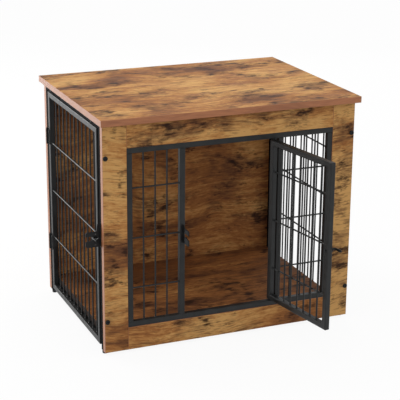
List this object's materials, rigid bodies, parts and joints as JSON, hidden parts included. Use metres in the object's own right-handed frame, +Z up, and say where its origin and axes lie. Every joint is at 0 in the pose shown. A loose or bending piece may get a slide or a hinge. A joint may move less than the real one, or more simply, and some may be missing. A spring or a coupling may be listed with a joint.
{
  "type": "dog crate end table",
  "caption": "Wood-topped pet crate and side table with steel tube sides, wire grilles, a pin-hung front door, a hinged side door and a latch on each door.",
  "frame": {"origin": "under the middle of the whole outline with the front door standing open, at floor level", "axes": "+Z up; the front with the open door faces -Y, the solid back panel faces +Y and the side door is on the -X side"},
  "size_m": [0.6676, 0.6894, 0.562],
  "materials": {
    "top_board_wood": "rustic brown wood-grain melamine on particle board, satin",
    "board_wood": "rustic brown wood-grain melamine on particle board, satin",
    "painted_tube": "dark grey powder coat on steel tube and wire",
    "black_hardware": "black coated steel",
    "foot_plastic": "moulded black plastic"
  },
  "bodies": {
    "frame": {"back_panel": "board_wood", "floor_board": "board_wood", "foot_left_front": "foot_plastic", "foot_left_rear": "foot_plastic", "foot_right_front": "foot_plastic", "foot_right_rear": "foot_plastic", "front_bolt_left_lower": "black_hardware", "front_bolt_left_upper": "black_hardware", "front_bolt_right_lower": "black_hardware", "front_bolt_right_upper": "black_hardware", "front_keeper": "black_hardware", "front_pin_lower": "black_hardware", "front_pin_upper": "black_hardware", "front_rail_bottom": "board_wood", "front_rail_top": "board_wood", "front_stile_left": "board_wood", "front_stile_right": "board_wood", "hinge_lower_frame_leaf": "black_hardware", "hinge_lower_pin": "black_hardware", "hinge_upper_frame_leaf": "black_hardware", "hinge_upper_pin": "black_hardware", "insert_grille_left": "painted_tube", "insert_grille_right": "painted_tube", "insert_post_left": "painted_tube", "insert_post_right": "painted_tube", "insert_rail_bottom": "painted_tube", "insert_rail_top": "painted_tube", "insert_stile_left": "painted_tube", "insert_stile_right": "painted_tube", "left_floor_rail": "painted_tube", "left_front_stile": "painted_tube", "left_rear_stile": "painted_tube", "left_top_rail": "painted_tube", "rail_bolt_left_front": "black_hardware", "rail_bolt_left_rear": "black_hardware", "rail_bolt_right_front": "black_hardware", "rail_bolt_right_rear": "black_hardware", "rear_bolt_left_lower": "black_hardware", "rear_bolt_left_upper": "black_hardware", "rear_bolt_right_lower": "black_hardware", "rear_bolt_right_upper": "black_hardware", "right_floor_rail": "painted_tube", "right_front_stile": "painted_tube", "right_panel": "painted_tube", "right_rear_stile": "painted_tube", "right_top_rail": "painted_tube", "side_keeper": "black_hardware", "top_board": "top_board_wood"},
    "front_door": {"front_door": "painted_tube", "front_latch_collar": "black_hardware"},
    "front_latch": {"front_latch_rod": "black_hardware"},
    "side_door": {"side_door": "painted_tube", "hinge_lower_door_leaf": "black_hardware", "hinge_upper_door_leaf": "black_hardware", "side_latch_collar": "black_hardware"},
    "side_latch": {"side_latch_rod": "black_hardware"}
  },
  "joints": [
    {"name": "front_door_hinge", "type": "hinge", "parent": "frame", "child": "front_door", "pos_m": [0.12105, -0.11283, 0.278], "axis": [0, 0, 1], "range_deg": [-100, 8]},
    {"name": "side_door_hinge", "type": "hinge", "parent": "frame", "child": "side_door", "pos_m": [-0.30245, 0.29727, 0.281], "axis": [0, 0, -1], "range_deg": [0, 175]},
    {"name": "front_latch_turn", "type": "hinge", "parent": "front_door", "child": "front_latch", "pos_m": [0.15832, -0.32417, 0.269], "axis": [-0.9848, -0.1736, 0], "range_deg": [0, 100]},
    {"name": "side_latch_turn", "type": "hinge", "parent": "side_door", "child": "side_latch", "pos_m": [-0.29915, -0.07433, 0.27702], "axis": [-1, 0, 0], "range_deg": [0, 15]}
  ]
}
